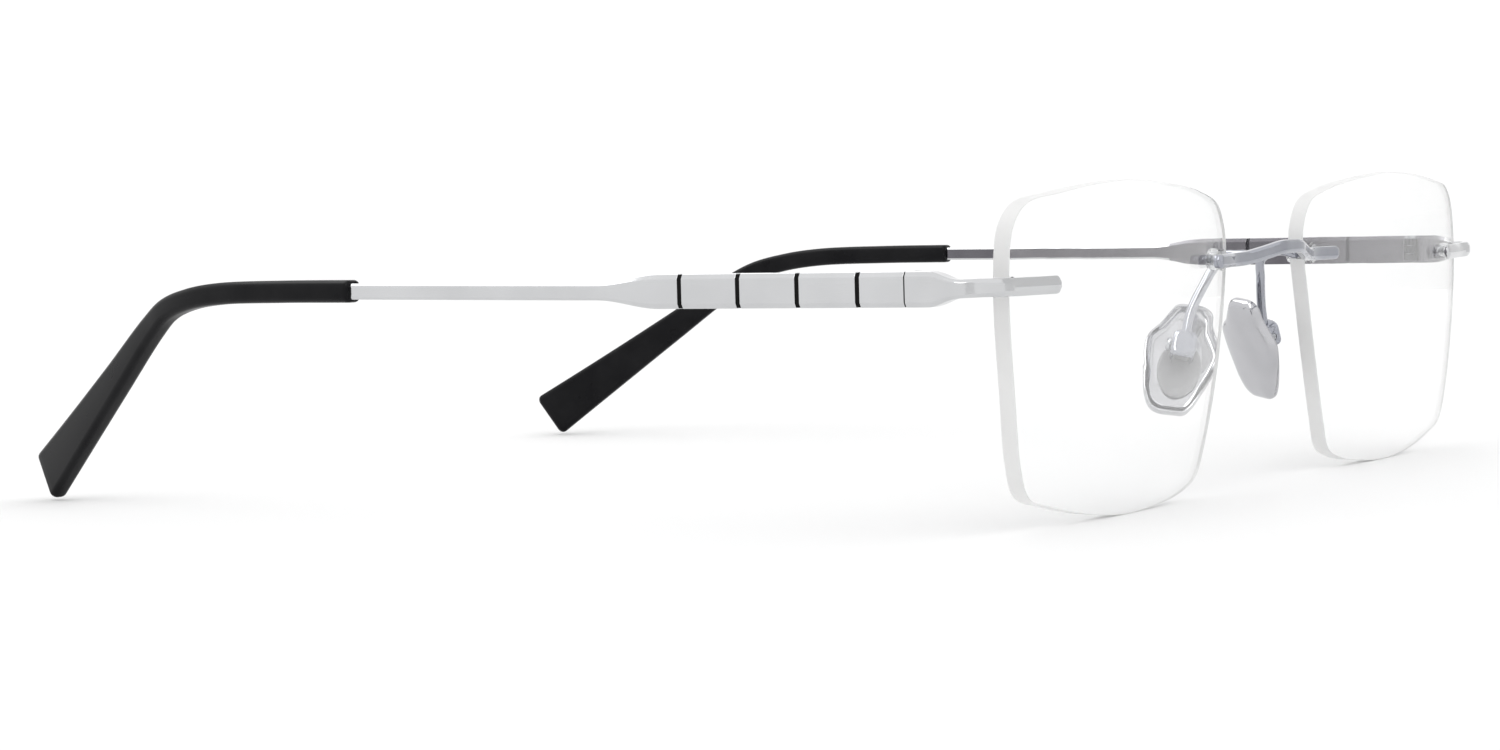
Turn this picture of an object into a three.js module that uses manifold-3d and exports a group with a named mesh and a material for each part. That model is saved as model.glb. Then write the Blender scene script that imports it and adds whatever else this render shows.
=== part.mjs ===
// Rimless eyeglasses. Two bevelled-edge lenses hang from a curved metal bridge and from two
// endpieces, each held by a pin, a prong in an edge notch and a clear washer. The temples
// fold on three-barrel hinges, and end in soft plastic tips. Two nose pads rock on screws.
// Millimetres, +Z up, the front faces -Y, the wearer's left is +X, and Z = 0 is the table.
import * as THREE from 'three';
import { mergeVertices } from 'three/addons/utils/BufferGeometryUtils.js';
import Module from 'manifold-3d';

const wasm = await Module();
wasm.setup();

// ---- Lenses ----
const lensWidth = 55;
const lensThickness = 1.9;
const lensGap = 23.3;
const lensRadius = 200;
const lensMiddle = [27.5, 18.3];
const wrapAngle = THREE.MathUtils.degToRad(0.64);
const tiltAngle = THREE.MathUtils.degToRad(2.4);
// Outline from the widest nasal point down, round and back, as [out from the nose, up].
const lensOutline = [
  [0, 28.5], [1.3, 21.5], [3.4, 14], [6.4, 6.2], [8.4, 2.7], [12, 1.3], [19, 0.35], [28, 0],
  [37, 0.7], [45, 2.1], [50.2, 3.6], [52.2, 7.1], [53.9, 15], [54.9, 22], [55, 27], [54.1, 31.8],
  [51.5, 34.3], [45, 35.4], [36, 36.3], [27, 36.6], [17, 36], [8, 34.9], [2.4, 33.3], [0.4, 30.6],
];

// ---- Lens fixings ----
const fixingHeight = 27;
const lugHeight = 25.9;
const pinRadius = 0.45;
const pinClearance = 0.3;
const pinInset = 2.1;
const bridgeWasherRadius = 1.25;
const lugWasherRadius = 0.9;
const washerThickness = 0.7;
const fitGap = 0.3;
const seatGap = 0.05;

// ---- Bridge and pad arms ----
const bridgeDepth = 1.3;
const bridgeHeight = 1.6;
const bridgeReach = 6.7;
const armRadius = 0.55;

// ---- Endpieces, hinges and temples ----
const lugDepth = 1.0;
const lugTall = 1.9;
const lugReach = 8.3;
const bladeCentre = 72.75;
const bladeThickness = 2.2;
const bladeTall = 3.7;
const bladeLevel = 25.9;
const jointPlane = 8.1;
const bladeEnd = 38;
const taperEnd = 46;
const slimTall = 1.8;
const slimThickness = 1.5;
const hingeX = 70.7;
const hingeRadius = 0.85;
const hingeBore = 0.5;
const leafThickness = 0.55;
const leafTall = 2.8;
const knuckleTall = 0.8;

// ---- Flex slots of the blade ----
const slotWidth = 0.5;
const slotDepth = 1.35;
const slotPitch = 7.2;
const outerSlots = 4;
const innerSlots = 3;
const firstOuterSlot = 13.6;
const firstInnerSlot = 17.2;

// ---- Temple tips ----
const tipStart = 79.2;
const coreEnd = 93;
const coreSize = 0.9;
const boreEnd = 95;
const flareStart = 0.38;
const boreSize = 1.5;

// ---- Nose pads ----
const padCentre = new THREE.Vector3(11.8, 6.1, 15.3);
const padUp = new THREE.Vector3(-0.5, 0, 0.866).normalize();
const padAcross = new THREE.Vector3(0.37, 0.905, 0.2136).normalize();
const padThickness = 1.7;
const padBoxSize = [2.7, 3.3];
const padBoxSpan = [1.5, 4.1];
const padBoxWall = 0.42;
const padBoxLift = 2.8;
const padBoxRise = 0.5;
const padTabRadius = 0.8;
const padScrewRadius = 0.45;
// The pad's outline as [towards the ear, up], from the bottom edge round by the ear side.
const padOutline = [
  [2.4, -6.7], [3.2, -5.2], [3.8, -2.4], [4.25, 0.6], [4.2, 2.5], [3.1, 4], [2.3, 5.6], [1.6, 6.7], [0.3, 7],
  [-1.5, 7], [-2.4, 6.3], [-2.75, 4.6], [-3.7, 2.7], [-4.2, 1.4], [-3.9, -0.8], [-3.2, -3.3], [-2.2, -6],
  [-1.5, -6.9], [0, -7.15], [1.4, -7.2],
];

const up = new THREE.Vector3(0, 0, 1);
const materials = {
  lens: new THREE.MeshStandardMaterial({ color: 0xf2f5f5, roughness: 0.03, transparent: true, opacity: 0.35 }),
  silver: new THREE.MeshStandardMaterial({ color: 0xc9cbcc, roughness: 0.22, metalness: 1 }),
  steel: new THREE.MeshStandardMaterial({ color: 0x9a9da1, roughness: 0.25, metalness: 1 }),
  tip: new THREE.MeshStandardMaterial({ color: 0x0b0b0c, roughness: 0.35 }),
  slot: new THREE.MeshStandardMaterial({ color: 0x050505, roughness: 0.5 }),
  clear: new THREE.MeshStandardMaterial({ color: 0xeff1f2, roughness: 0.1, transparent: true, opacity: 0.5 }),
  pad: new THREE.MeshStandardMaterial({ color: 0xb3b5ba, roughness: 0.15, metalness: 1 }),
};

// ---- Solids ----

// A closed geometry as a solid that can be cut and joined.
function solidOf(geometry) {
  const bare = geometry.clone();
  bare.deleteAttribute('normal');
  bare.deleteAttribute('uv');
  const merged = mergeVertices(bare, 1e-5);
  const index = merged.index.array;
  const kept = [];
  for (let i = 0; i < index.length; i += 3) {
    const [a, b, c] = [index[i], index[i + 1], index[i + 2]];
    if (a !== b && b !== c && a !== c) {
      kept.push(a, b, c);
    }
  }
  const vertProperties = new Float32Array(merged.attributes.position.array);
  return new wasm.Manifold(new wasm.Mesh({ numProp: 3, vertProperties, triVerts: new Uint32Array(kept) }));
}

function geometryOf(solid) {
  const mesh = solid.getMesh();
  const geometry = new THREE.BufferGeometry();
  geometry.setAttribute('position', new THREE.BufferAttribute(mesh.vertProperties, 3));
  geometry.setIndex(new THREE.BufferAttribute(mesh.triVerts, 1));
  geometry.computeVertexNormals();
  return geometry;
}

const join = (...parts) => geometryOf(parts.map(solidOf).reduce((whole, part) => whole.add(part)));

const cut = (body, ...tools) => geometryOf(
  tools.map(solidOf).reduce((whole, tool) => whole.subtract(tool), solidOf(body)),
);

// ---- Shapes ----

// A box given by its low and high corners.
function block(low, high) {
  const size = high.map((value, axis) => value - low[axis]);
  const middle = high.map((value, axis) => (value + low[axis]) / 2);
  return new THREE.BoxGeometry(...size).translate(...middle);
}

// A round rod between two points.
function rod(from, to, radius, sides = 12) {
  const along = to.clone().sub(from);
  const turn = new THREE.Quaternion().setFromUnitVectors(new THREE.Vector3(0, 1, 0), along.clone().normalize());
  const middle = from.clone().add(to).multiplyScalar(0.5);
  return new THREE.CylinderGeometry(radius, radius, along.length(), sides)
    .applyQuaternion(turn)
    .translate(middle.x, middle.y, middle.z);
}

// A unit square section with cut corners.
function barSection(corner = 0.16) {
  const inner = 0.5 - corner;
  const points = [[0.5, inner], [inner, 0.5], [-inner, 0.5], [-0.5, inner],
    [-0.5, -inner], [-inner, -0.5], [inner, -0.5], [0.5, -inner]];
  return new THREE.Shape(points.reverse().map(([x, y]) => new THREE.Vector2(x, y)));
}

function roundSection(sides = 10) {
  const corners = Array.from({ length: sides }, (_, i) => (2 * Math.PI * i) / sides);
  return new THREE.Shape(corners.map((a) => new THREE.Vector2(0.5 * Math.cos(a), 0.5 * Math.sin(a))));
}

// A solid through a row of stations { at, along, wide, tall }, with the section upright.
function loft(section, stations, upright = up) {
  const steps = stations.length - 1;
  const geometry = new THREE.ExtrudeGeometry(section, { depth: 1, steps, bevelEnabled: false });
  const position = geometry.getAttribute('position');
  for (let i = 0; i < position.count; i += 1) {
    const { at, along, wide, tall } = stations[Math.round(position.getZ(i) * steps)];
    const side = new THREE.Vector3().crossVectors(upright, along).normalize();
    const rise = new THREE.Vector3().crossVectors(along, side).normalize();
    const point = at.clone()
      .addScaledVector(side, position.getX(i) * wide)
      .addScaledVector(rise, position.getY(i) * tall);
    position.setXYZ(i, point.x, point.y, point.z);
  }
  return geometry;
}

// Evenly spaced stations along a smooth curve through some points.
function stationsAlong(points, count, size) {
  const curve = new THREE.CatmullRomCurve3(points, false, 'centripetal');
  return Array.from({ length: count + 1 }, (_, i) => {
    const t = i / count;
    const [wide, tall] = size(t);
    return { at: curve.getPointAt(t), along: curve.getTangentAt(t), wide, tall };
  });
}

const mix = THREE.MathUtils.lerp;
const ease = THREE.MathUtils.smoothstep;
const point = (x, y, z) => new THREE.Vector3(x, y, z);

// How far a station near either end of a bar shrinks, so that the bar ends in a dome.
const dome = (t, rounding) => Math.sqrt(Math.max(0.12, 1 - Math.max(0, 1 - Math.min(t, 1 - t) / rounding) ** 2));

// ---- Lens space: out from the nose, up, and depth behind the front face ----
const lensTurn = new THREE.Matrix4()
  .makeRotationFromEuler(new THREE.Euler(tiltAngle, 0, wrapAngle, 'ZYX'))
  .setPosition(lensGap / 2, 0, 0);

function lensPoint(out, rise, depth) {
  const [midOut, midRise] = lensMiddle;
  const bulge = ((out - midOut) ** 2 + (rise - midRise) ** 2 - midOut ** 2) / (2 * lensRadius);
  return point(out, bulge + depth, rise).applyMatrix4(lensTurn);
}

const flip = (place, side) => place.clone().multiply(point(side, 1, 1));
const frontFace = 0;
const backFace = lensThickness;
const lugOut = lensWidth - pinInset;

function lensBlank() {
  const outline = new THREE.CatmullRomCurve3(lensOutline.map(([x, y]) => point(x, y, 0)), true, 'centripetal');
  const rim = outline.getPoints(lensOutline.length * 2);
  const rings = [0, 0.45, 0.75, 1];
  const profile = [
    ...rings.map((ring) => new THREE.Vector2(ring, backFace)),
    ...rings.toReversed().map((ring) => new THREE.Vector2(ring, frontFace)),
  ];
  const disc = new THREE.LatheGeometry(profile, rim.length - 1);
  const position = disc.getAttribute('position');
  const [midOut, midRise] = lensMiddle;
  for (let i = 0; i < position.count; i += 1) {
    const edge = rim[Math.floor(i / profile.length)];
    const { x: ring, y: depth } = profile[i % profile.length];
    const place = lensPoint(mix(midOut, edge.x, ring), mix(midRise, edge.y, ring), depth);
    position.setXYZ(i, place.x, place.y, place.z);
  }
  return disc;
}

// Through the lens at a pin, or at a prong in the lens edge.
const through = (out, rise, radius) => rod(lensPoint(out, rise, -2), lensPoint(out, rise, 4), radius);

function lens() {
  const hole = pinRadius + pinClearance;
  return cut(
    lensBlank(),
    through(pinInset, fixingHeight, hole),
    through(0, fixingHeight, hole),
    through(lugOut, lugHeight, hole),
    through(lensWidth, lugHeight, hole),
  );
}

function washer(out, rise, radius) {
  const from = lensPoint(out, rise, backFace + fitGap);
  const to = lensPoint(out, rise, backFace + fitGap + washerThickness);
  const bore = [lensPoint(out, rise, backFace), lensPoint(out, rise, backFace + 2)];
  return cut(rod(from, to, radius, 20), rod(...bore, pinRadius + 0.1));
}

// The pin and the prong that hold a metal part to the lens.
function fixings(pinOut, prongOut, rise, start, side = 1) {
  const stretch = (out, end) => rod(
    flip(lensPoint(out, rise, start), side),
    flip(lensPoint(out, rise, end), side),
    pinRadius,
  );
  return [stretch(pinOut, backFace + fitGap + washerThickness + 0.4), stretch(prongOut, backFace)];
}

// ---- Front ----
function bridge() {
  const depth = frontFace - fitGap - bridgeDepth / 2;
  const half = [
    lensPoint(bridgeReach, fixingHeight, depth),
    lensPoint(bridgeReach / 2, fixingHeight, depth),
    lensPoint(0.6, fixingHeight, depth),
    point(9.4, -2.35, 27.05),
    point(6, -3.25, 27.55),
    point(2.6, -4, 28.1),
  ];
  const path = [
    ...half.map((place) => flip(place, -1)),
    point(0, -4.05, 28.15),
    ...half.toReversed(),
  ];
  const size = (t) => [bridgeDepth * dome(t, 0.025), bridgeHeight * dome(t, 0.025)];
  const bar = loft(barSection(0.22), stationsAlong(path, 44, size));
  const pins = [-1, 1].flatMap((side) => fixings(pinInset, 0, fixingHeight, depth, side));
  return join(bar, ...pins);
}

// Pad space is across, up, and out from the bearing side towards the lens.
const padOut = new THREE.Vector3().crossVectors(padAcross, padUp);
const padTurn = new THREE.Matrix4().makeBasis(padAcross, padUp, padOut).setPosition(padCentre);
const placeOnPad = (geometry) => geometry.applyMatrix4(padTurn);

function padArm() {
  const top = point(0, padBoxRise + padBoxSize[1] / 2 + fitGap, padBoxLift).applyMatrix4(padTurn);
  const path = [
    point(7.8, -1.75, 27.2),
    point(7.6, 0.8, 27.4),
    point(8.1, 2.95, 26.5),
    point(9.98, 3.93, 24),
    point(12.05, 4.75, 20.7),
    top,
  ];
  const wire = stationsAlong(path, 14, () => [2 * armRadius, 2 * armRadius]);
  return loft(roundSection(), wire, point(0.6, 0.8, 0));
}

// A rod across the pad, on the line that the pad rocks about.
const acrossPad = (from, to, radius, sides = 12) => rod(
  point(from, padBoxRise, padBoxLift),
  point(to, padBoxRise, padBoxLift),
  radius,
  sides,
);

function padBox() {
  const [wide, tall] = padBoxSize;
  const [low, high] = padBoxSpan;
  const shell = block([-wide / 2, padBoxRise - tall / 2, low], [wide / 2, padBoxRise + tall / 2, high]);
  const pocket = block(
    [-wide / 2 + padBoxWall, padBoxRise - tall / 2 - 1, low - 1],
    [wide / 2 - padBoxWall, padBoxRise + tall / 2 - padBoxWall, high - padBoxWall],
  );
  const bore = acrossPad(-wide, wide, padScrewRadius + 0.1);
  return placeOnPad(cut(shell, pocket, bore));
}

function padScrew() {
  const reach = padBoxSize[0] / 2 + 0.1;
  const shank = acrossPad(-reach, reach, padScrewRadius);
  const head = acrossPad(reach, reach + 0.5, 0.85);
  return placeOnPad(join(shank, head));
}

// The hard core: a disc set in the back of the pad, with a round-ended tab for the screw.
const coreRadius = [2.4, 3.6];
const coreRise = -1.4;
const coreDepth = 0.7;

function coreDisc(grow, depth) {
  return new THREE.CylinderGeometry(1, 1, depth, 24)
    .rotateX(Math.PI / 2)
    .scale(coreRadius[0] + grow, coreRadius[1] + grow, 1)
    .translate(0, coreRise, padThickness / 2 - depth / 2);
}

function padCore() {
  const half = 0.8;
  const tab = block(
    [-half, padBoxRise - padTabRadius, padThickness / 2 - 0.4],
    [half, padBoxRise + padTabRadius, padBoxLift],
  );
  const end = acrossPad(-half, half, padTabRadius, 16);
  const bore = acrossPad(-2, 2, padScrewRadius + 0.08);
  return placeOnPad(cut(join(coreDisc(0, coreDepth), tab, end), bore));
}

function nosePad() {
  const corners = padOutline.map(([x, y]) => point(x, y, 0));
  const rim = new THREE.CatmullRomCurve3(corners, true, 'centripetal').getPoints(42).slice(1);
  const outline = new THREE.Shape(rim.map(({ x, y }) => new THREE.Vector2(x, y)));
  const bevel = 0.4;
  const plate = new THREE.ExtrudeGeometry(outline, {
    depth: padThickness - 2 * bevel,
    bevelThickness: bevel,
    bevelSize: bevel,
    bevelOffset: -bevel,
    bevelSegments: 1,
  }).translate(0, 0, bevel - padThickness / 2);
  return placeOnPad(cut(plate, coreDisc(0.15, coreDepth + 0.15).translate(0, 0, 0.01)));
}

// ---- Endpiece and hinge ----
const bladeInner = bladeCentre - bladeThickness / 2;
const bladeOuter = bladeCentre + bladeThickness / 2;

function endpiece() {
  const depth = frontFace - fitGap - lugDepth / 2;
  const path = [
    lensPoint(lensWidth - lugReach, lugHeight, depth),
    lensPoint(lensWidth - lugReach / 2, lugHeight, depth),
    lensPoint(lensWidth - 0.4, lugHeight, depth),
    point(69.6, -0.9, lugHeight),
    point(71.8, 0.4, 25.95),
    point(bladeCentre, 2.4, bladeLevel),
    point(bladeCentre, 4.6, bladeLevel),
    point(bladeCentre, jointPlane - 0.1, bladeLevel),
  ];
  const size = (t) => {
    const thick = mix(lugDepth, bladeThickness, ease(t, 0.42, 0.78));
    const tall = mix(lugTall, bladeTall, ease(t, 0.72, 0.885));
    const tip = t < 0.5 ? dome(t, 0.05) : 1;
    return [thick * tip, tall * tip];
  };
  const bar = loft(barSection(0.14), stationsAlong(path, 30, size));
  return join(bar, ...fixings(lugOut, lensWidth, lugHeight, depth));
}

const hingeLine = (low, high, radius, sides = 16) => rod(
  point(hingeX, jointPlane, low),
  point(hingeX, jointPlane, high),
  radius,
  sides,
);
const leafFace = bladeInner - seatGap;
const leafLow = bladeLevel - leafTall / 2;
const leafHigh = bladeLevel + leafTall / 2;

// A leaf that lies on the inner face and reaches the hinge line between two heights.
function leaf(from, to, low, high) {
  const middleOfLine = Math.abs(to - jointPlane) < Math.abs(from - jointPlane) ? to : from;
  const plate = block(
    [leafFace - leafThickness, Math.min(from, to), leafLow],
    [leafFace, Math.max(from, to), leafHigh],
  );
  const ears = [low, high].map(([bottom, top]) => join(
    hingeLine(bottom, top, hingeRadius),
    block(
      [leafFace - leafThickness, Math.min(middleOfLine, jointPlane) - 0.1, bottom],
      [leafFace, Math.max(middleOfLine, jointPlane) + 0.1, top],
    ),
  ));
  return cut(join(plate, ...ears), hingeLine(leafLow - 1, leafHigh + 1, hingeBore, 12));
}

const leafSetback = 0.95;

function endpieceHinge() {
  const lower = [leafLow, leafLow + knuckleTall];
  const upper = [leafHigh - knuckleTall, leafHigh];
  return leaf(4.6, jointPlane - leafSetback, lower, upper);
}

function templeHinge() {
  const middle = [leafLow + knuckleTall + 0.12, leafHigh - knuckleTall - 0.12];
  return leaf(12.4, jointPlane + leafSetback, middle, middle);
}

function hingeScrew() {
  const shank = hingeLine(leafLow - 0.05, leafHigh + 0.05, hingeBore - 0.06, 12);
  const head = hingeLine(leafHigh + 0.05, leafHigh + 0.45, hingeRadius - 0.1);
  return join(shank, head);
}

// ---- Temple ----
const slotAt = (first, i) => first + i * slotPitch;

function slotTool(y, outer) {
  const [low, high] = outer
    ? [bladeOuter - slotDepth, bladeOuter + 1]
    : [bladeInner - 1, bladeInner + slotDepth];
  const tall = bladeTall / 2 + 1;
  return block([low, y - slotWidth / 2, bladeLevel - tall], [high, y + slotWidth / 2, bladeLevel + tall]);
}

function temple() {
  const straight = (y, wide, tall, x = bladeCentre, z = bladeLevel) => (
    { at: point(x, y, z), along: point(0, 1, 0), wide, tall }
  );
  const taper = [0.25, 0.5, 0.75, 1].map((t) => straight(
    mix(bladeEnd, taperEnd, t),
    mix(bladeThickness, slimThickness, ease(t, 0, 1)),
    mix(bladeTall, slimTall, ease(t, 0, 1)),
  ));
  const bar = loft(barSection(0.14), [
    straight(jointPlane + 0.1, bladeThickness, bladeTall),
    straight(bladeEnd, bladeThickness, bladeTall),
    ...taper,
    straight(64, slimThickness, slimTall, 72.6, 26.05),
    straight(tipStart - 0.3, slimThickness, slimTall, 72.4, 26.2),
    straight(tipStart - 0.2, coreSize, coreSize + 0.3, 72.4, 26.2),
    straight(coreEnd, coreSize, coreSize, 71.3, 26.35),
  ]);
  const outer = Array.from({ length: outerSlots }, (_, i) => slotTool(slotAt(firstOuterSlot, i), true));
  const inner = Array.from({ length: innerSlots }, (_, i) => slotTool(slotAt(firstInnerSlot, i), false));
  return cut(bar, ...outer, ...inner);
}

// The black strip that lies in an outer slot, just clear of its walls.
function slotStrip(i) {
  const y = slotAt(firstOuterSlot, i);
  const clearance = 0.04;
  const halfTall = bladeTall / 2 - 0.12;
  return block(
    [bladeOuter - slotDepth + clearance, y - slotWidth / 2 + clearance, bladeLevel - halfTall],
    [bladeOuter - 0.05, y + slotWidth / 2 - clearance, bladeLevel + halfTall],
  );
}

function templeTip() {
  const path = [
    point(72.4, tipStart, 26.2),
    point(71.7, 90, 26.2),
    point(70.7, 99.5, 26),
    point(69.6, 105, 25.35),
    point(68.2, 109.6, 24.1),
    point(66.7, 113.3, 21.95),
    point(63.2, 122, 15.55),
    point(59.7, 130.8, 9.1),
    point(56.2, 139.6, 2.72),
  ];
  const size = (t) => [mix(2.6, 2.2, t), 2.55 + 4.15 * Math.max(0, (t - flareStart) / (1 - flareStart)) ** 1.35];
  const bend = loft(barSection(0.2), stationsAlong(path, 26, size));
  const bore = loft(barSection(0.1), [
    { at: point(72.4, tipStart - 1, 26.2), along: point(0, 1, 0), wide: boreSize, tall: boreSize + 0.2 },
    { at: point(71.15, boreEnd, 26.35), along: point(0, 1, 0), wide: boreSize, tall: boreSize },
  ]);
  return cut(bend, bore);
}

// ---- Assembly ----
const eyeglasses = new THREE.Group();

function add(parent, name, geometry, material) {
  const mesh = new THREE.Mesh(geometry, material);
  mesh.name = name;
  parent.add(mesh);
}

add(eyeglasses, 'bridge', bridge(), materials.steel);

const halves = [['right', -1], ['left', 1]];
for (const [name, side] of halves) {
  const half = new THREE.Group();
  half.scale.x = side;
  eyeglasses.add(half);
  add(half, `${name}_lens`, lens(), materials.lens);
  add(half, `${name}_bridge_washer`, washer(pinInset, fixingHeight, bridgeWasherRadius), materials.clear);
  add(half, `${name}_endpiece_washer`, washer(lugOut, lugHeight, lugWasherRadius), materials.clear);
  add(half, `${name}_pad_arm`, padArm(), materials.steel);
  add(half, `${name}_pad_box`, padBox(), materials.steel);
  add(half, `${name}_pad_screw`, padScrew(), materials.steel);
  add(half, `${name}_pad_core`, padCore(), materials.clear);
  add(half, `${name}_nose_pad`, nosePad(), materials.pad);
  add(half, `${name}_endpiece`, endpiece(), materials.silver);
  add(half, `${name}_endpiece_hinge`, endpieceHinge(), materials.silver);
  add(half, `${name}_temple_hinge`, templeHinge(), materials.silver);
  add(half, `${name}_hinge_screw`, hingeScrew(), materials.steel);
  add(half, `${name}_temple`, temple(), materials.silver);
  add(half, `${name}_temple_tip`, templeTip(), materials.tip);
  for (let i = 0; i < outerSlots; i += 1) {
    add(half, `${name}_slot_strip_${i + 1}`, slotStrip(i), materials.slot);
  }
}

// The origin is under the middle of the whole object.
const bounds = new THREE.Box3().setFromObject(eyeglasses);
eyeglasses.position.set(0, -bounds.getCenter(new THREE.Vector3()).y, -bounds.min.z);

export default eyeglasses;
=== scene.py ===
# The looks of the rimless eyeglasses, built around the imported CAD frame.
# Shapes are worked out in millimetres in the front frame: X = 0 is the mirror plane, the wearer's
# left is +X, the front faces -Y, and Y = 0 is the front face of the lenses at the nose.
import math

import bpy
import numpy as np
from mathutils import Matrix, Vector


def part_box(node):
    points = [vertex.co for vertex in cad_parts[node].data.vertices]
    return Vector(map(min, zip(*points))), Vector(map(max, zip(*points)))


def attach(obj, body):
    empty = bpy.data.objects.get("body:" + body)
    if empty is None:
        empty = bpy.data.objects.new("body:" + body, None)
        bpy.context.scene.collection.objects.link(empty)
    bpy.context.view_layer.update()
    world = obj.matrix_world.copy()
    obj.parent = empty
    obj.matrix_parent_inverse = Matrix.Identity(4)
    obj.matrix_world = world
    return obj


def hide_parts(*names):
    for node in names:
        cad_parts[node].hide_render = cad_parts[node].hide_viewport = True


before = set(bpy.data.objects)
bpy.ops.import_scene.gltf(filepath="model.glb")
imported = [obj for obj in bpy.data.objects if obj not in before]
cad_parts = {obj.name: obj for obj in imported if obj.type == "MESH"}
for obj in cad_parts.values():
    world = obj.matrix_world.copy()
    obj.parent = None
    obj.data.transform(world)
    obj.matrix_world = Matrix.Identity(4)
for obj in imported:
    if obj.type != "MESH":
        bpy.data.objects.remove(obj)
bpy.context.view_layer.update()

MM = 0.001
UP = Vector((0, 0, 1))

# ---- Lenses ----
LENS_WIDTH = 55
LENS_THICKNESS = 1.9
LENS_GAP = 23.3
LENS_RADIUS = 200
LENS_MIDDLE = (27.5, 18.3)
LENS_WRAP = math.radians(0.64)
LENS_TILT = math.radians(2.4)
LENS_OUTLINE = [
    (0, 28.5), (1.3, 21.5), (3.4, 14), (6.4, 6.2), (8.4, 2.7), (12, 1.3), (19, 0.35), (28, 0),
    (37, 0.7), (45, 2.1), (50.2, 3.6), (52.2, 7.1), (53.9, 15), (54.9, 22), (55, 27), (54.1, 31.8),
    (51.5, 34.3), (45, 35.4), (36, 36.3), (27, 36.6), (17, 36), (8, 34.9), (2.4, 33.3), (0.4, 30.6),
]

# ---- Lens fixings ----
FIXING_HEIGHT = 27
LUG_HEIGHT = 25.9
PIN_RADIUS = 0.45
PIN_INSET = 2.1
HOLE_RADIUS = 0.75
WASHER_THICKNESS = 0.7
FIT_GAP = 0.3

# ---- Bridge and pad arms ----
BRIDGE_DEPTH = 1.3
BRIDGE_HEIGHT = 1.6
BRIDGE_REACH = 6.7
ARM_RADIUS = 0.55

# ---- Endpieces, hinges and temples ----
LUG_DEPTH = 1.0
LUG_TALL = 1.9
LUG_REACH = 8.3
BLADE_X = 72.75
BLADE_THICK = 2.2
BLADE_TALL = 3.7
BLADE_LEVEL = 25.9
JOINT_Y = 8.1
TAPER = (38, 46)
SLIM_TALL = 1.8
SLIM_THICK = 1.5
HINGE_X = 70.7
HINGE_RADIUS = 0.85
HINGE_BORE = 0.5
LEAF_THICK = 0.55
LEAF_TALL = 2.8
LEAF_SETBACK = 0.95
KNUCKLE_TALL = 0.8
KNUCKLE_GAP = 0.1
# How far from the hinge line the painted shade reaches.
PAINTED_SHADE_REACH = 0.9
RIVET_PLACES = [(11.6, BLADE_LEVEL - 0.9), (11.6, BLADE_LEVEL + 0.9)]
RIVET_RADIUS = 0.22
RIVET_DEPTH = 0.4

# ---- Flex slots and tips ----
SLOT_WIDTH = 0.5
SLOT_DEPTH = 1.35
SLOT_PITCH = 7.2
OUTER_SLOTS = [13.6 + SLOT_PITCH * i for i in range(4)]
INNER_SLOTS = [17.2 + SLOT_PITCH * i for i in range(3)]
TIP_START = 79.2
TIP_PATH = [
    (72.4, TIP_START, 26.2), (71.7, 90, 26.2), (70.7, 99.5, 26), (69.6, 105, 25.35), (68.2, 109.6, 24.1),
    (66.7, 113.3, 21.95), (63.2, 122, 15.55), (59.7, 130.8, 9.1), (56.2, 139.6, 2.72),
]
TIP_WIDE = (2.6, 2.2)
TIP_TALL = (2.55, 6.7)
FLARE_START = 0.38
TIP_END = 0.012
TIP_LIP = [0, 0.002, 0.005, 0.009, 0.012, 0.016]

# ---- Nose pads ----
PAD_CENTRE = Vector((11.8, 6.1, 15.3))
PAD_UP = Vector((-0.5, 0, 0.866)).normalized()
PAD_ACROSS = Vector((0.37, 0.905, 0.2136)).normalized()
PAD_BOX = (2.7, 3.3)
PAD_BOX_SPAN = (1.5, 4.1)
PAD_BOX_WALL = 0.42
PAD_BOX_CROWN = [(2.6, 0.1), (2.5, 0), (0.5, 0), (0.26, 0.08), (0.1, 0.28), (0.02, 0.6), (0, 1)]
PAD_LIFT = 2.8
PAD_RISE = 0.5
CORE_RADIUS = (2.4, 3.6)
CORE_RISE = -1.4
PAD_OUTLINE = [
    (2.4, -6.7), (3.2, -5.2), (3.8, -2.4), (4.25, 0.6), (4.2, 2.5), (3.1, 4), (2.3, 5.6), (1.6, 6.7),
    (0.3, 7), (-1.5, 7), (-2.4, 6.3), (-2.75, 4.6), (-3.7, 2.7), (-4.2, 1.4), (-3.9, -0.8), (-3.2, -3.3),
    (-2.2, -6), (-1.5, -6.9), (0, -7.15), (1.4, -7.2),
]

# ---- Camera ----
CAMERA_PLACE = (-0.40138, -0.23654, 0.0371)
CAMERA_AZIMUTH = math.radians(-59.26)
CAMERA_ELEVATION = math.radians(3.0)
CAMERA_ROLL = math.radians(-1.48)
CAMERA_LENS = 87.1

# ---- Studio, in metres ----
ROOM_GLOW = (1.1, 1.13)
STUDIO_MIDDLE = (0, 0, 0.02)
SOFT_BOXES = [
    ("overhead", (-0.03, 0.33, 0.6), (0.4, 0.4), 1.3),
    ("strip_front", (-0.35, -0.1, 0.5), (0.12, 0.5), 0.9),
]
CARDS = [
    ("card_right", (0.4, -0.3, 0.2), (0, -0.06, 0.2), (0.5, 0.4), 0.72),
    ("card_behind_camera", (-0.55, -0.38, 0.1), STUDIO_MIDDLE, (0.22, 0.5), 0.7),
    ("card_back", (0.3, 0.5, 0.3), STUDIO_MIDDLE, (0.3, 0.12), 0.08),
]

# The front frame's shift to the row frame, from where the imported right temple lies.
TEMPLE_LOW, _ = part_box("right_temple")
SHIFT = Vector((0, TEMPLE_LOW.y / MM - JOINT_Y - 0.1, TEMPLE_LOW.z / MM - BLADE_LEVEL + BLADE_TALL / 2))


# ---- Materials ----

def shader(name):
    """A new material: its node tree, its Principled shader, and noise coordinates in metres."""
    material = bpy.data.materials.new(name)
    material.use_nodes = True
    tree = material.node_tree
    coordinates = tree.nodes.new("ShaderNodeTexCoord")
    return material, tree, tree.nodes["Principled BSDF"], coordinates.outputs["Object"]


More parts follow.
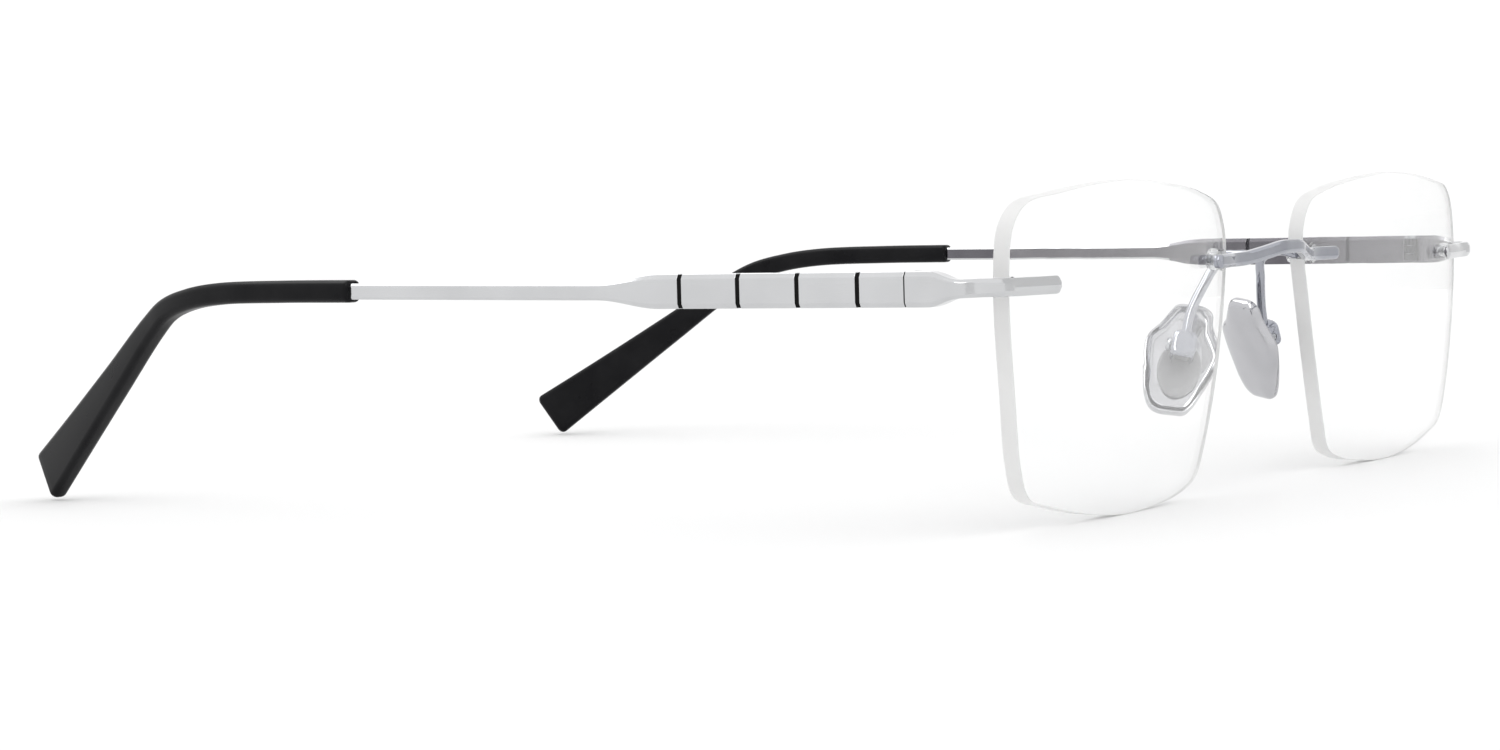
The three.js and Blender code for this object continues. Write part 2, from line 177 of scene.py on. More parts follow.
def noise(tree, coordinates, scale, detail=3, stretch=(1, 1, 1)):
    """A noise value whose cells are 1 / scale metres across, drawn out by stretch."""
    mapping = tree.nodes.new("ShaderNodeMapping")
    mapping.inputs["Scale"].default_value = stretch
    texture = tree.nodes.new("ShaderNodeTexNoise")
    texture.inputs["Scale"].default_value = scale
    texture.inputs["Detail"].default_value = detail
    tree.links.new(coordinates, mapping.inputs["Vector"])
    tree.links.new(mapping.outputs["Vector"], texture.inputs["Vector"])
    return texture.outputs["Fac"]


def between(tree, value, low, high):
    """The value spread from low to high."""
    spread = tree.nodes.new("ShaderNodeMapRange")
    spread.inputs["From Min"].default_value = 0.3
    spread.inputs["From Max"].default_value = 0.7
    spread.inputs["To Min"].default_value = low
    spread.inputs["To Max"].default_value = high
    tree.links.new(value, spread.inputs["Value"])
    return spread.outputs["Result"]


def shade(tree, value, dark, light):
    """A colour between two, by the value."""
    ramp = tree.nodes.new("ShaderNodeValToRGB")
    ramp.color_ramp.elements[0].position = 0.3
    ramp.color_ramp.elements[0].color = (*dark, 1)
    ramp.color_ramp.elements[1].position = 0.7
    ramp.color_ramp.elements[1].color = (*light, 1)
    tree.links.new(value, ramp.inputs["Fac"])
    return ramp.outputs["Color"]


def bump(tree, bsdf, value, height):
    """Raises the surface by the value, up to a height in metres."""
    relief = tree.nodes.new("ShaderNodeBump")
    relief.inputs["Strength"].default_value = 0.6
    relief.inputs["Distance"].default_value = height
    tree.links.new(value, relief.inputs["Height"])
    tree.links.new(relief.outputs["Normal"], bsdf.inputs["Normal"])


def finish_surface(tree, bsdf, value, colours, roughness):
    """Colour and roughness that both vary with the value."""
    tree.links.new(shade(tree, value, *colours), bsdf.inputs["Base Color"])
    tree.links.new(between(tree, value, *roughness), bsdf.inputs["Roughness"])


def metal(name, colours, roughness, grain, stretch=(1, 1, 1)):
    """A metal with faint handling marks in its gloss and a fine polishing grain."""
    material, tree, bsdf, coordinates = shader(name)
    bsdf.inputs["Metallic"].default_value = 1
    finish_surface(tree, bsdf, noise(tree, coordinates, 140), colours, roughness)
    bump(tree, bsdf, noise(tree, coordinates, 9000, 2, stretch), grain)
    return material


def plastic(name, colours, roughness, gloss, grain_scale, grain):
    """An opaque moulded plastic with a fine grain; gloss is its specular level."""
    material, tree, bsdf, coordinates = shader(name)
    bsdf.inputs["IOR"].default_value = 1.5
    bsdf.inputs["Specular IOR Level"].default_value = gloss
    finish_surface(tree, bsdf, noise(tree, coordinates, 220), colours, roughness)
    bump(tree, bsdf, noise(tree, coordinates, grain_scale), grain)
    return material


def clear(name, colours, roughness, ior, transmission, grain_scale, grain):
    """A clear or frosted plastic."""
    material, tree, bsdf, coordinates = shader(name)
    bsdf.inputs["IOR"].default_value = ior
    bsdf.inputs["Transmission Weight"].default_value = transmission
    finish_surface(tree, bsdf, noise(tree, coordinates, 160), colours, roughness)
    bump(tree, bsdf, noise(tree, coordinates, grain_scale), grain)
    return material


# Noise stretched along Y, as brushing leaves it.
BRUSHED = (1, 0.08, 1)

SILVER = metal("silver", ((0.57, 0.575, 0.585), (0.62, 0.625, 0.635)), (0.1, 0.17), 2e-6, BRUSHED)
INNER_GREY = metal("inner_grey", ((0.13, 0.125, 0.14), (0.18, 0.175, 0.19)), (0.16, 0.24), 2e-6, BRUSHED)
# Polished metal for the bridge, pins, pad arms and pad boxes: its base colour is set darker than the silver
# as a painted reflection of dark surroundings that its facets would reflect.
POLISHED_PAINTED_DARK = metal("polished", ((0.34, 0.35, 0.39), (0.41, 0.42, 0.46)), (0.05, 0.1), 1e-6)
SCREW = metal("turned_steel", ((0.40, 0.41, 0.43), (0.50, 0.51, 0.53)), (0.18, 0.3), 3e-6, (1, 1, 0.1))
# Near-black metal for the faces around the hinge line: painted shade standing in for the shadowed gap
# between the hinge leaves.
PAINTED_HINGE_SHADE = metal("hinge_barrel", ((0.05, 0.05, 0.055), (0.09, 0.09, 0.095)), (0.25, 0.35), 3e-6)
BLACK = plastic("black_tip", ((0.004, 0.004, 0.005), (0.009, 0.009, 0.010)), (0.26, 0.36), 0.1, 5000, 4e-6)
FILLER = plastic("slot_filler", ((0.002, 0.002, 0.002), (0.005, 0.005, 0.005)), (0.5, 0.7), 0.1, 6000, 6e-6)
GLASS = clear("lens_clear", ((0.985, 0.99, 0.99), (1, 1, 1)), (0, 0.012), 1.5, 1, 40, 1e-7)
GROUND = clear("lens_edge", ((0.97, 0.97, 0.965), (1, 1, 0.995)), (0.45, 0.6), 1.5, 0.3, 7000, 8e-6)
NYLON = clear("clear_nylon", ((0.86, 0.87, 0.88), (0.94, 0.945, 0.95)), (0.05, 0.15), 1.5, 0.9, 2500, 5e-6)
# Nose pads: silver metal whose colour is a painted reflection, standing in for the internal reflections of
# clear pads.
PAD_SILVER_PAINTED_REFLECTION = metal("pad_silver", ((0.48, 0.48, 0.50), (0.55, 0.55, 0.57)), (0.06, 0.12), 1e-6)
CORE_GREY = plastic("core_grey", ((0.34, 0.34, 0.35), (0.42, 0.42, 0.43)), (0.2, 0.3), 0.5, 2500, 4e-6)


# ---- Curves ----

def knot_mix(p, q, low, high, t):
    return (p * (high - t) + q * (t - low)) / (high - low)


def spline_point(a, b, c, d, share):
    """A point between b and c on the centripetal Catmull-Rom curve through four points."""
    k1 = (b - a).length ** 0.5
    k2 = k1 + (c - b).length ** 0.5
    k3 = k2 + (d - c).length ** 0.5
    t = k1 + share * (k2 - k1)
    ab, bc, cd = knot_mix(a, b, 0, k1, t), knot_mix(b, c, k1, k2, t), knot_mix(c, d, k2, k3, t)
    return knot_mix(knot_mix(ab, bc, 0, k2, t), knot_mix(bc, cd, k1, k3, t), k1, k2, t)


def spline(points, closed=False, fine=12):
    """A smooth curve through some points, as a dense row of points."""
    points = [Vector(p) for p in points]
    if closed:
        row = [points[-1], *points, points[0], points[1]]
    else:
        row = [2 * points[0] - points[1], *points, 2 * points[-1] - points[-2]]
    dense = [
        spline_point(*four, i / fine)
        for four in zip(row, row[1:], row[2:], row[3:])
        for i in range(fine)
    ]
    return dense if closed else [*dense, points[-1]]


def stations(points, shares):
    """(centre, direction) at shares of the length of the smooth curve through the points."""
    row = np.array(spline(points))
    reach = np.concatenate([[0], np.cumsum(np.linalg.norm(np.diff(row, axis=0), axis=1))])

    def at(distance):
        return Vector([np.interp(distance, reach, row[:, k]) for k in range(3)])

    step = reach[-1] / 500
    return [
        (at(s * reach[-1]), (at(s * reach[-1] + step) - at(s * reach[-1] - step)).normalized())
        for s in shares
    ]


def even(count):
    return [i / count for i in range(count + 1)]


def domed(rounding, count, steps=7):
    """Shares of a bar's length that crowd into its two rounded ends."""
    turn = [math.pi / 2 * (i + 0.35) / (steps + 0.35) for i in range(steps)]
    end = [rounding * (1 - math.cos(a)) for a in turn]
    middle = [rounding + (1 - 2 * rounding) * s for s in even(count)]
    return [*end, *middle, *[1 - s for s in reversed(end)]]


def dome(t, rounding):
    """How much a bar is narrowed at a share of its length, so that its ends are round."""
    return math.sqrt(max(0.0005, 1 - max(0, 1 - min(t, 1 - t) / rounding) ** 2))


def ease(t, low, high):
    t = min(1, max(0, (t - low) / (high - low)))
    return t * t * (3 - 2 * t)


def mix(a, b, t):
    return a + (b - a) * t


# ---- Sections ----

def bar_section(wide, tall, corner):
    """A rectangle with cut corners; corner is a share of each side."""
    x, y = wide / 2, tall / 2
    u, v = x - corner * wide, y - corner * tall
    return [(x, -v), (x, v), (u, y), (-u, y), (-x, v), (-x, -v), (-u, -y), (u, -y)]


def round_section(radius, sides=20):
    return [
        (radius * math.cos(2 * math.pi * i / sides), radius * math.sin(2 * math.pi * i / sides))
        for i in range(sides)
    ]


def pillow_section(wide, tall, corner, steps=6):
    """A rectangle with round corners of a radius."""
    corner = min(corner, wide / 2 - 0.01, tall / 2 - 0.01)
    x, y = wide / 2 - corner, tall / 2 - corner
    outline = []
    for quarter, (cx, cy) in enumerate([(x, y), (-x, y), (-x, -y), (x, -y)]):
        for i in range(steps + 1):
            angle = math.pi / 2 * (quarter + i / steps)
            outline.append((cx + corner * math.cos(angle), cy + corner * math.sin(angle)))
    return outline


# ---- Shapes: (points, faces) in the front frame ----

def loft(path, outlines, upright=UP):
    """A closed bar with an outline across each (centre, direction) of its path."""
    points = []
    for (centre, direction), outline in zip(path, outlines):
        side = upright.cross(direction).normalized()
        rise = direction.cross(side)
        points += [centre + side * x + rise * y for x, y in outline]
    n = len(outlines[0])
    faces = [
        (i + j, i + (j + 1) % n, i + n + (j + 1) % n, i + n + j)
        for i in range(0, len(points) - n, n)
        for j in range(n)
    ]
    return points, [*faces, tuple(range(n - 1, -1, -1)), tuple(range(len(points) - n, len(points)))]


def rod(start, end, radius, sides=24):
    start, end = Vector(start), Vector(end)
    direction = (end - start).normalized()
    upright = UP if abs(direction.z) < 0.9 else Vector((0, 1, 0))
    outlines = [round_section(radius, sides)] * 2
    return loft([(start, direction), (end, direction)], outlines, upright)


def turned(start, direction, profile, sides=32):
    """A turned piece: its profile is (distance along the direction, radius) pairs."""
    start, direction = Vector(start), Vector(direction).normalized()
    upright = UP if abs(direction.z) < 0.9 else Vector((0, 1, 0))
    path = [(start + direction * distance, direction) for distance, _ in profile]
    return loft(path, [round_section(radius, sides) for _, radius in profile], upright)


def block(low, high):
    """A box by its low and high corners."""
    middle_x, middle_z = (low[0] + high[0]) / 2, (low[2] + high[2]) / 2
    outline = bar_section(high[0] - low[0], high[2] - low[2], 0)
    outline = [outline[i] for i in (0, 1, 3, 5)]
    forward = Vector((0, 1, 0))
    path = [(Vector((middle_x, y, middle_z)), forward) for y in (low[1], high[1])]
    return loft(path, [[(-x, y) for x, y in reversed(outline)]] * 2)


def rings(outline, profile, place_ring):
    """A disc-like solid: the outline at each (share, depth) of a profile, from middle to middle."""
    points = []
    for share, depth in profile[1:-1]:
        points += [place_ring(x, y, share, depth) for x, y in outline]
    n = len(outline)
    faces = [
        (i + j, i + n + j, i + n + (j + 1) % n, i + (j + 1) % n)
        for i in range(0, len(points) - n, n)
        for j in range(n)
    ]
    first, last = len(points), len(points) + 1
    faces += [(first, j, (j + 1) % n) for j in range(n)]
    faces += [(last, last - 1 - n + (j + 1) % n, last - 1 - n + j) for j in range(n)]
    ends = [place_ring(*outline[0], 0, profile[k][1]) for k in (0, -1)]
    return [*points, *ends], faces


# ---- Pieces ----

def place(point, side):
    return (Vector((point[0] * side, point[1], point[2])) + SHIFT) * MM


def new_object(name, shape, side):
    points, faces = shape
    mesh = bpy.data.meshes.new(name)
    mesh.from_pydata([place(p, side) for p in points], [], [f[::side] for f in faces])
    mesh.update()
    thing = bpy.data.objects.new(name, mesh)
    bpy.context.scene.collection.objects.link(thing)
    return thing


def settle(thing):
    """Applies the object's modifiers to its mesh."""
    graph = bpy.context.evaluated_depsgraph_get()
    thing.data = bpy.data.meshes.new_from_object(thing.evaluated_get(graph))
    thing.modifiers.clear()


def carve(thing, operation, shapes, side):
    """Joins shapes to the object (UNION) or cuts them from it (DIFFERENCE)."""
    for shape in shapes:
        tool = new_object("tool", shape, side)
        change = thing.modifiers.new("carve", "BOOLEAN")
        change.operation = operation
        change.solver = "EXACT"
        change.object = tool
        settle(thing)
        bpy.data.objects.remove(tool)


def smooth(thing, sharp_angle=35):
    """Smooth shading, with hard edges where faces meet at more than an angle."""
    thing.data.shade_smooth()
    thing.data.set_sharp_from_angle(angle=math.radians(sharp_angle))


def soften(thing, width, segments=3):
    """Rounds the hard edges to a width in millimetres."""
    thing.data.shade_smooth()
    bevel = thing.modifiers.new("soft_edges", "BEVEL")
    bevel.width = width * MM
    bevel.segments = segments
    bevel.limit_method = "ANGLE"
    bevel.angle_limit = math.radians(28)
    bevel.use_clamp_overlap = True
    bevel.harden_normals = True


def piece(name, shape, side, material, body, replaced=(), join=(), cut=(), edge=0):
    """A finished piece of the eyeglasses on a body, with soft edges where edge is given."""
    thing = new_object(name, shape, side)
    carve(thing, "UNION", join, side)
    carve(thing, "DIFFERENCE", cut, side)
    thing.data.materials.clear()
    thing.data.materials.append(material)
    if edge:
        soften(thing, edge)
    else:
        smooth(thing)
    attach(thing, body)
    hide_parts(*replaced)
    return thing


def darken_inside(thing, side):
    """The grey inner finish, on the faces turned towards the wearer's head."""
    thing.data.materials.append(INNER_GREY)
    for face in thing.data.polygons:
        face.material_index = 1 if face.normal.x * side < -0.8 else 0


# ---- Lenses and their fixings ----

LENS_TURN = Matrix.Rotation(LENS_WRAP, 4, "Z") @ Matrix.Rotation(LENS_TILT, 4, "X")


def lens_point(out, rise, depth):
    """A point on the left lens: out from the nose, up, and behind the front face."""
    mid_out, mid_rise = LENS_MIDDLE
    bulge = ((out - mid_out) ** 2 + (rise - mid_rise) ** 2 - mid_out**2) / (2 * LENS_RADIUS)
    return LENS_TURN @ Vector((out, bulge + depth, rise)) + Vector((LENS_GAP / 2, 0, 0))


def through_lens(out, rise, radius):
    return rod(lens_point(out, rise, -2), lens_point(out, rise, 4), radius)


def lens(name, side):
    chamfer = 0.08
    rim = 0.997
    inner = [0.15 * i for i in range(1, 6)] + [0.86, 0.95, rim]
    front, back = 0, LENS_THICKNESS
    profile = [(0, front), *[(r, front) for r in inner], (1, front + chamfer)]
    profile += [(1, back - chamfer), *[(r, back) for r in reversed(inner)], (0, back)]
    outline = [(p.x, p.y) for p in spline([(*p, 0) for p in LENS_OUTLINE], closed=True, fine=8)]

    def on_lens(x, y, share, depth):
        return lens_point(mix(LENS_MIDDLE[0], x, share), mix(LENS_MIDDLE[1], y, share), depth)

    holes = [
        through_lens(out, rise, HOLE_RADIUS)
        for out, rise in (
            (PIN_INSET, FIXING_HEIGHT), (0, FIXING_HEIGHT),
            (LENS_WIDTH - PIN_INSET, LUG_HEIGHT), (LENS_WIDTH, LUG_HEIGHT),
        )
    ]
    glass = piece(
        f"{name}_lens_blank", rings(outline, profile, on_lens), side, GLASS, "front",
        [f"{name}_lens"], cut=holes,
    )
    glass.data.materials.append(GROUND)
    facing = LENS_TURN @ Vector((0, 1, 0))
    facing.x *= side
    for face in glass.data.polygons:
        across = abs(face.normal.dot(facing))
        face.material_index = 1 if across < 0.9 else 0
    smooth(glass, 20)


def bushing(name, out, rise, radius, side):
    """The clear nylon bushing: a flange on each lens face and a sleeve in the hole."""
    middle = lens_point(out, rise, LENS_THICKNESS / 2)
    direction = lens_point(out, rise, 1) - lens_point(out, rise, 0)
    half = LENS_THICKNESS / 2
    sleeve = HOLE_RADIUS - 0.05
    back = half + FIT_GAP + WASHER_THICKNESS
    profile = [
        (-half - FIT_GAP, radius - 0.1), (-half - FIT_GAP + 0.1, radius), (-half - 0.02, radius),
        (-half - 0.02, sleeve), (half + 0.02, sleeve), (half + 0.02, radius),
        (back - 0.25, radius), (back - 0.07, radius - 0.08), (back, radius - 0.25),
    ]
    piece(
        f"{name}_bushing", turned(middle, direction, profile), side, NYLON, "front",
        [f"{name}_washer"], cut=[through_lens(out, rise, PIN_RADIUS + 0.02)],
    )


def pin(name, out, rise, start, end, side, material):
    """A round pin with a domed end, from a depth in front of the lens to one behind it."""
    first = lens_point(out, rise, start)
    direction = lens_point(out, rise, end) - first
    reach = direction.length
    dome_steps = [
        (reach - PIN_RADIUS * (1 - math.sin(a)), PIN_RADIUS * math.cos(a))
        for a in (math.pi / 2 * i / 6 for i in range(6))
    ]
    piece(name, turned(first, direction, [(0, PIN_RADIUS), *dome_steps], 20), side, material, "front")


# ---- Bridge, pad arms and pads ----

BAR_FRONT = -FIT_GAP


def bridge():
    depth = BAR_FRONT - BRIDGE_DEPTH / 2
    half = [
        lens_point(BRIDGE_REACH, FIXING_HEIGHT, depth),
        lens_point(BRIDGE_REACH / 2, FIXING_HEIGHT, depth),
        lens_point(0.6, FIXING_HEIGHT, depth),
        Vector((9.4, -2.35, 27.05)),
        Vector((6, -3.25, 27.55)),
        Vector((2.6, -4, 28.1)),
    ]
    mirrored = [Vector((-p.x, p.y, p.z)) for p in half]
    path = [*mirrored, Vector((0, -4.05, 28.15)), *reversed(half)]
    rounding = 0.022
    shares = domed(rounding, 90)
    outlines = [
        bar_section(BRIDGE_DEPTH * dome(t, rounding), BRIDGE_HEIGHT * dome(t, rounding), 0.22)
        for t in shares
    ]
    piece(
        "bridge_bar", loft(stations(path, shares), outlines), 1, POLISHED_PAINTED_DARK, "front",
        ["bridge"], edge=0.12,
    )
    return depth


PAD_OUT = PAD_ACROSS.cross(PAD_UP)
PAD_TURN = Matrix((PAD_ACROSS, PAD_UP, PAD_OUT)).transposed()


def pad_point(across, rise, out):
    """A point in a pad's own space: towards the ear, up the pad, and towards the lens."""
    return PAD_CENTRE + PAD_TURN @ Vector((across, rise, out))


def on_pad(shape):
    """A shape made in pad space, moved to the pad."""
    points, faces = shape
    return [pad_point(*p) for p in points], faces


def pad_arm(name, side):
    top = pad_point(0, PAD_RISE + PAD_BOX[1] / 2 - 0.2, PAD_LIFT)
    path = [
        (7.8, -1.75, 27.2), (7.6, 0.8, 27.4), (8.1, 2.95, 26.5), (9.98, 3.93, 24), (12.05, 4.75, 20.7), top,
    ]
    shares = even(60)
    outlines = [round_section(ARM_RADIUS * (1 + 0.35 * (1 - ease(t, 0.02, 0.12)))) for t in shares]
    piece(
        f"{name}_pad_arm_wire", loft(stations(path, shares), outlines, Vector((0.6, 0.8, 0))), side,
        POLISHED_PAINTED_DARK, "front", [f"{name}_pad_arm"],
    )


def pad_box(name, side):
    wide, tall = PAD_BOX
    low, high = PAD_BOX_SPAN
    bottom, top = PAD_RISE - tall / 2, PAD_RISE + tall / 2
    shell = loft(
        [(Vector((0, PAD_RISE, high - drop)), Vector((0, 0, 1))) for drop, _ in PAD_BOX_CROWN],
        [pillow_section(wide - inset, tall - inset, 0.8) for _, inset in PAD_BOX_CROWN],
        Vector((0, 1, 0)),
    )
    pocket = block(
        (-wide / 2 + PAD_BOX_WALL, bottom - 1, low - 1),
        (wide / 2 - PAD_BOX_WALL, top - PAD_BOX_WALL, high - PAD_BOX_WALL),
    )
    bore = rod((-wide, PAD_RISE, PAD_LIFT), (wide, PAD_RISE, PAD_LIFT), 0.5)
    piece(
        f"{name}_pad_box_shell", on_pad(shell), side, POLISHED_PAINTED_DARK, "front",
        [f"{name}_pad_box"], cut=[on_pad(pocket), on_pad(bore)],
    )


def pad_screw(name, side):
    reach = PAD_BOX[0] / 2 + 0.1
    start = pad_point(-reach, PAD_RISE, PAD_LIFT)
    length = 2 * reach
    profile = [
        (0, 0.3), (0.12, 0.45), (length, 0.45), (length, 0.8), (length + 0.08, 0.85),
        (length + 0.3, 0.8), (length + 0.45, 0.6), (length + 0.5, 0.3),
    ]
    slot = block((reach + 0.25, PAD_RISE - 1, PAD_LIFT - 0.1), (reach + 1, PAD_RISE + 1, PAD_LIFT + 0.1))
    piece(
        f"{name}_pad_box_screw", turned(start, PAD_ACROSS, profile), side, SCREW, "front",
        [f"{name}_pad_screw"], cut=[on_pad(slot)],
    )


def pad_core(name, side):
    """The hard core: a disc on the pad's back with a round-ended tab for the screw."""
    low, high = 0.3, 0.8
    profile = [(0, low), (0.9, low), (1, low + 0.06), (1, high - 0.14), (0.96, high - 0.03), (0.9, high)]
    profile += [(0.6, high - 0.06), (0, high - 0.08)]
    circle = round_section(1, 48)

    def on_core(x, y, share, depth):
        return pad_point(CORE_RADIUS[0] * x * share, CORE_RISE + CORE_RADIUS[1] * y * share, depth)

    half, reach = 0.8, 0.8
    tab = block((-half, PAD_RISE - reach, low + 0.1), (half, PAD_RISE + reach, PAD_LIFT))
    end = rod((-half, PAD_RISE, PAD_LIFT), (half, PAD_RISE, PAD_LIFT), reach)
    bore = rod((-2, PAD_RISE, PAD_LIFT), (2, PAD_RISE, PAD_LIFT), 0.5)
    piece(
        f"{name}_pad_core_disc", flipped(rings(circle, profile, on_core)), side, CORE_GREY,
        f"{name}_nose_pad", [f"{name}_pad_core"],
        join=[on_pad(tab), on_pad(end)], cut=[on_pad(bore)],
    )


def flipped(shape):
    points, faces = shape
    return points, [f[::-1] for f in faces]


def nose_pad(name, side):
    """The pad: a polished dish domed towards the nose, hollow behind, with a raised rim; its silver metal
    colour is a painted reflection standing in for the silvery sheen inside a clear pad.
    """
    outline = [(p.x, p.y) for p in spline([(*p, 0) for p in PAD_OUTLINE], closed=True, fine=8)]
    profile = [
        (0, -0.85), (0.3, -0.84), (0.55, -0.8), (0.75, -0.72), (0.88, -0.56), (0.95, -0.34),
        (0.985, -0.08), (1, 0.25), (1, 0.55), (0.992, 0.74), (0.975, 0.84), (0.955, 0.85),
        (0.935, 0.8), (0.92, 0.66), (0.905, 0.48), (0.88, 0.34), (0.84, 0.26), (0.78, 0.22),
        (0.7, 0.24), (0.55, 0.32), (0.3, 0.38), (0, 0.4),
    ]

    def on_outline(x, y, share, depth):
        return pad_point(x * share, y * share, depth)

    piece(
        f"{name}_nose_pad_body", flipped(rings(outline, profile, on_outline)), side, PAD_SILVER_PAINTED_REFLECTION,
        f"{name}_nose_pad", [f"{name}_nose_pad"],
    )


# ---- Endpieces and hinges ----

BLADE_IN = BLADE_X - BLADE_THICK / 2
BLADE_OUT = BLADE_X + BLADE_THICK / 2
LUG_MIDDLE = BAR_FRONT - LUG_DEPTH / 2


def endpiece(name, side):
    path = [
        lens_point(LENS_WIDTH - LUG_REACH, LUG_HEIGHT, LUG_MIDDLE),
        lens_point(LENS_WIDTH - LUG_REACH / 2, LUG_HEIGHT, LUG_MIDDLE),
        lens_point(LENS_WIDTH - 0.4, LUG_HEIGHT, LUG_MIDDLE),
        (69.6, -0.9, LUG_HEIGHT),
        (71.8, 0.4, 25.95),
        (BLADE_X, 2.4, BLADE_LEVEL),
        (BLADE_X, 4.6, BLADE_LEVEL),
        (BLADE_X, JOINT_Y - 0.06, BLADE_LEVEL),
    ]
    rounding = 0.045
    shares = [t for t in domed(rounding, 80) if t <= 1 - rounding] + [1]
    outlines = []
    for t in shares:
        thick = mix(LUG_DEPTH, BLADE_THICK, ease(t, 0.42, 0.78))
        tall = mix(LUG_TALL, BLADE_TALL, ease(t, 0.72, 0.885))
        narrowed = dome(t, rounding) if t < 0.5 else 1
        corner = mix(0.3, 0.14, ease(t, 0.4, 0.8))
        outlines.append(bar_section(thick * narrowed, tall * narrowed, corner))
    bar = piece(
        f"{name}_endpiece_bar", loft(stations(path, shares), outlines), side, SILVER, "front",
        [f"{name}_endpiece"], edge=0.07,
    )
    darken_inside(bar, side)


def hinge_rod(low, high, radius):
    return rod((HINGE_X, JOINT_Y, low), (HINGE_X, JOINT_Y, high), radius, 40)


LEAF_OUT = BLADE_IN - 0.01
LEAF_IN = LEAF_OUT - LEAF_THICK
LEAF_LOW = BLADE_LEVEL - LEAF_TALL / 2
LEAF_HIGH = BLADE_LEVEL + LEAF_TALL / 2


def hinge_leaf(name, side, body, start, end, knuckles, replaced, rivets=()):
    """A plate on the inner face from start to end, with round knuckles on the hinge line; the faces near
    the hinge line are painted near-black, a painted shade for the shadowed gap between the leaves.
    """
    plate = block((LEAF_IN, min(start, end), LEAF_LOW), (LEAF_OUT, max(start, end), LEAF_HIGH))
    near, far = min(end, JOINT_Y) - 0.1, max(end, JOINT_Y) + 0.1
    ears = [
        shape
        for low, high in knuckles
        for shape in (
            hinge_rod(low, high, HINGE_RADIUS),
            block((LEAF_IN, near, low), (LEAF_OUT, far, high)),
        )
    ]
    bore = hinge_rod(LEAF_LOW - 1, LEAF_HIGH + 1, HINGE_BORE)
    holes = [rod((LEAF_IN - 1, y, z), (LEAF_IN + RIVET_DEPTH, y, z), RIVET_RADIUS) for y, z in rivets]
    leaf = piece(
        name, plate, side, INNER_GREY, body, [replaced], ears, [bore, *holes], edge=0.05,
    )
    # The faces near the hinge line take the near-black painted shade.
    leaf.data.materials.append(PAINTED_HINGE_SHADE)
    hinge_line = place((HINGE_X, JOINT_Y, 0), side).y
    for face in leaf.data.polygons:
        in_painted_hinge_shade = abs(face.center.y - hinge_line) < PAINTED_SHADE_REACH * MM
        face.material_index = 1 if in_painted_hinge_shade else 0


def hinge(name, side):
    low_knuckle = (LEAF_LOW, LEAF_LOW + KNUCKLE_TALL)
    high_knuckle = (LEAF_HIGH - KNUCKLE_TALL, LEAF_HIGH)
    middle = (low_knuckle[1] + KNUCKLE_GAP, high_knuckle[0] - KNUCKLE_GAP)
    hinge_leaf(
        f"{name}_endpiece_leaf", side, "front", 4.6, JOINT_Y - LEAF_SETBACK,
        [low_knuckle, high_knuckle], f"{name}_endpiece_hinge",
    )
    hinge_leaf(
        f"{name}_temple_leaf", side, f"{name}_temple", 12.4, JOINT_Y + LEAF_SETBACK,
        [middle], f"{name}_temple_hinge", RIVET_PLACES,
    )


def hinge_screw(name, side):
    start = Vector((HINGE_X, JOINT_Y, LEAF_LOW - 0.05))
    length = LEAF_TALL + 0.1
    head = HINGE_RADIUS - 0.1
    profile = [
        (0, 0.3), (0.1, 0.44), (length, 0.44), (length, head - 0.05), (length + 0.05, head),
        (length + 0.25, head - 0.03), (length + 0.36, head - 0.2), (length + 0.4, head - 0.45),
    ]
    top = LEAF_HIGH + 0.45
    slot = block((HINGE_X - 1, JOINT_Y - 0.09, top - 0.22), (HINGE_X + 1, JOINT_Y + 0.09, top + 1))
    piece(
        f"{name}_hinge_barrel_screw", turned(start, UP, profile), side, SCREW, "front",
        [f"{name}_hinge_screw"], cut=[slot],
    )


# ---- Temples ----

def slot_cutter(y, low, high):
    tall, reach = BLADE_TALL / 2 + 1, SLOT_WIDTH / 2
    return block((low, y - reach, BLADE_LEVEL - tall), (high, y + reach, BLADE_LEVEL + tall))


def temple(name, side):
    forward = Vector((0, 1, 0))
    path, outlines = [], []
    taper = [
        (
            mix(*TAPER, t),
            mix(BLADE_THICK, SLIM_THICK, ease(t, 0, 1)),
            mix(BLADE_TALL, SLIM_TALL, ease(t, 0, 1)),
        )
        for t in even(14)
    ]
    rows = [
        (JOINT_Y + 0.06, BLADE_THICK, BLADE_TALL, BLADE_X, BLADE_LEVEL),
        *[(*row, BLADE_X, BLADE_LEVEL) for row in taper],
        (55, SLIM_THICK, SLIM_TALL, 72.68, 25.97),
        (64, SLIM_THICK, SLIM_TALL, 72.6, 26.05),
        (TIP_START + 2.4, SLIM_THICK, SLIM_TALL, 72.38, 26.2),
    ]
    for y, thick, tall, x, z in rows:
        path.append((Vector((x, y, z)), forward))
        outlines.append(bar_section(thick, tall, 0.14))
    slots = [slot_cutter(y, BLADE_OUT - SLOT_DEPTH, BLADE_OUT + 1) for y in OUTER_SLOTS]
    slots += [slot_cutter(y, BLADE_IN - 1, BLADE_IN + SLOT_DEPTH) for y in INNER_SLOTS]
    blade = piece(
        f"{name}_temple_blade", loft(path, outlines), side, SILVER, f"{name}_temple",
        [f"{name}_temple"], cut=slots, edge=0.06,
    )
    darken_inside(blade, side)


def slot_strips(name, side):
    """The black strips, set a little under the outer face and the cut corners."""
    for i, y in enumerate(OUTER_SLOTS):
        half = SLOT_WIDTH / 2 - 0.01
        low = BLADE_OUT - SLOT_DEPTH + 0.02
        outline = bar_section(BLADE_OUT - 0.06 - low, BLADE_TALL - 0.12, 0.16)
        middle = (BLADE_OUT - 0.06 + low) / 2
        path = [(Vector((middle, y + d, BLADE_LEVEL)), Vector((0, 1, 0))) for d in (-half, half)]
        number = i + 1
        piece(
            f"{name}_strip_{number}", loft(path, [outline] * 2), side, FILLER, f"{name}_temple",
            [f"{name}_slot_strip_{number}"], edge=0.05,
        )


